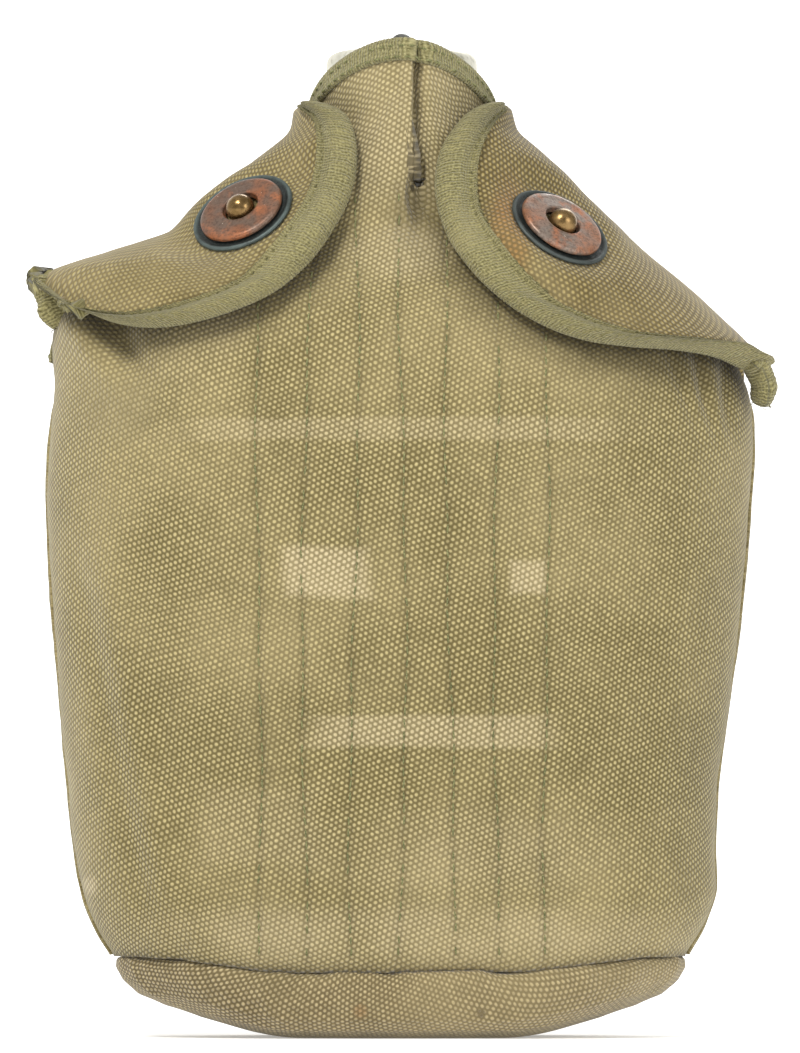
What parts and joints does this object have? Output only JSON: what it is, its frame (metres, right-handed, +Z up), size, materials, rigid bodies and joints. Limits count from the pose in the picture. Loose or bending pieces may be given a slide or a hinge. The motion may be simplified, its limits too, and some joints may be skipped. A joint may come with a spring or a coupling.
{
  "type": "canteen",
  "caption": "Flat-bodied metal canteen in a padded canvas cover with snap-down shoulder flaps, a chained screw cap and a wire belt hook behind.",
  "frame": {"origin": "centre of the flat the canteen stands on", "axes": "+Z up along the neck, -Y the front with the snap flaps, +X to the viewer's right when seen from the front"},
  "size_m": [0.1606, 0.097, 0.221],
  "materials": {
    "bottle_aluminium": "satin, lightly oxidised",
    "band_steel": "dull",
    "cap_aluminium": "satin, rubbed",
    "gasket": "matt",
    "dark_steel": "blackened, worn",
    "chain_steel": "darkened",
    "canvas": "cotton duck, faded khaki",
    "canvas_bottom": "cotton duck, faded and stained",
    "felt": "wool felt",
    "edge_tape": "cotton tape",
    "thread": "cotton thread",
    "flap_canvas": "cotton duck",
    "flap_tape": "cotton tape, rubbed",
    "snap_flange": "blackened, verdigris",
    "snap_disc": "coppery brown, worn",
    "snap_washer": "dull",
    "snap_ball": "aged, rubbed bright",
    "hook_canvas": "cotton duck",
    "hook_wire": "dark, worn"
  },
  "bodies": {
    "canteen": {"bottle_lower_shell": "bottle_aluminium", "bottle_upper_shell": "bottle_aluminium", "bottle_weld": "bottle_aluminium", "neck_sleeve": "bottle_aluminium", "neck_thread": "bottle_aluminium", "neck_band": "band_steel", "cap_chain": "chain_steel", "front_panel": "canvas", "back_panel": "canvas", "bottom_panel": "canvas_bottom", "front_lining": "felt", "back_lining": "felt", "bottom_lining": "felt", "front_binding": "edge_tape", "back_binding": "edge_tape", "side_seam_left": "edge_tape", "side_seam_right": "edge_tape", "quilt_stitching": "thread", "snap_studs": "snap_ball", "stud_washers": "snap_washer", "hook_tab": "hook_canvas"},
    "cap_pin": {"cap_pin": "dark_steel"},
    "cap": {"cap_shell": "cap_aluminium", "cap_thread": "cap_aluminium", "cap_gasket": "gasket"},
    "flap_left": {"flap_left_panel": "flap_canvas", "flap_left_binding": "flap_tape", "flap_left_flange": "snap_flange", "flap_left_disc": "snap_disc", "flap_left_clinch": "snap_washer"},
    "flap_right": {"flap_right_panel": "flap_canvas", "flap_right_binding": "flap_tape", "flap_right_flange": "snap_flange", "flap_right_disc": "snap_disc", "flap_right_clinch": "snap_washer"},
    "belt_hook": {"belt_hook": "hook_wire"}
  },
  "joints": [
    {"name": "cap_lift", "type": "slide", "parent": "canteen", "child": "cap_pin", "axis": [0, 0, 1], "range_m": [0, 0.007], "deforming": ["cap_chain"]},
    {"name": "cap_turn", "type": "hinge", "parent": "cap_pin", "child": "cap", "pos_m": [0, 0, 0.21], "axis": [0, 0, 1], "range_deg": [0, 630]},
    {"name": "flap_left_open", "type": "hinge", "parent": "canteen", "child": "flap_left", "pos_m": [-0.023, 0.01, 0.2], "axis": [-0.8644, 0, -0.5029], "range_deg": [0, 120]},
    {"name": "flap_right_open", "type": "hinge", "parent": "canteen", "child": "flap_right", "pos_m": [0.024, 0.012, 0.201], "axis": [-0.7137, 0, 0.7005], "range_deg": [0, 120]},
    {"name": "hook_swing", "type": "hinge", "parent": "canteen", "child": "belt_hook", "pos_m": [0, 0.04065, 0.148], "axis": [-1, 0, 0], "range_deg": [0, 100]}
  ],
  "couplings": [
    {"joint": "cap_lift", "follows": "cap_turn", "m_per_rad": 0.0006366}
  ]
}
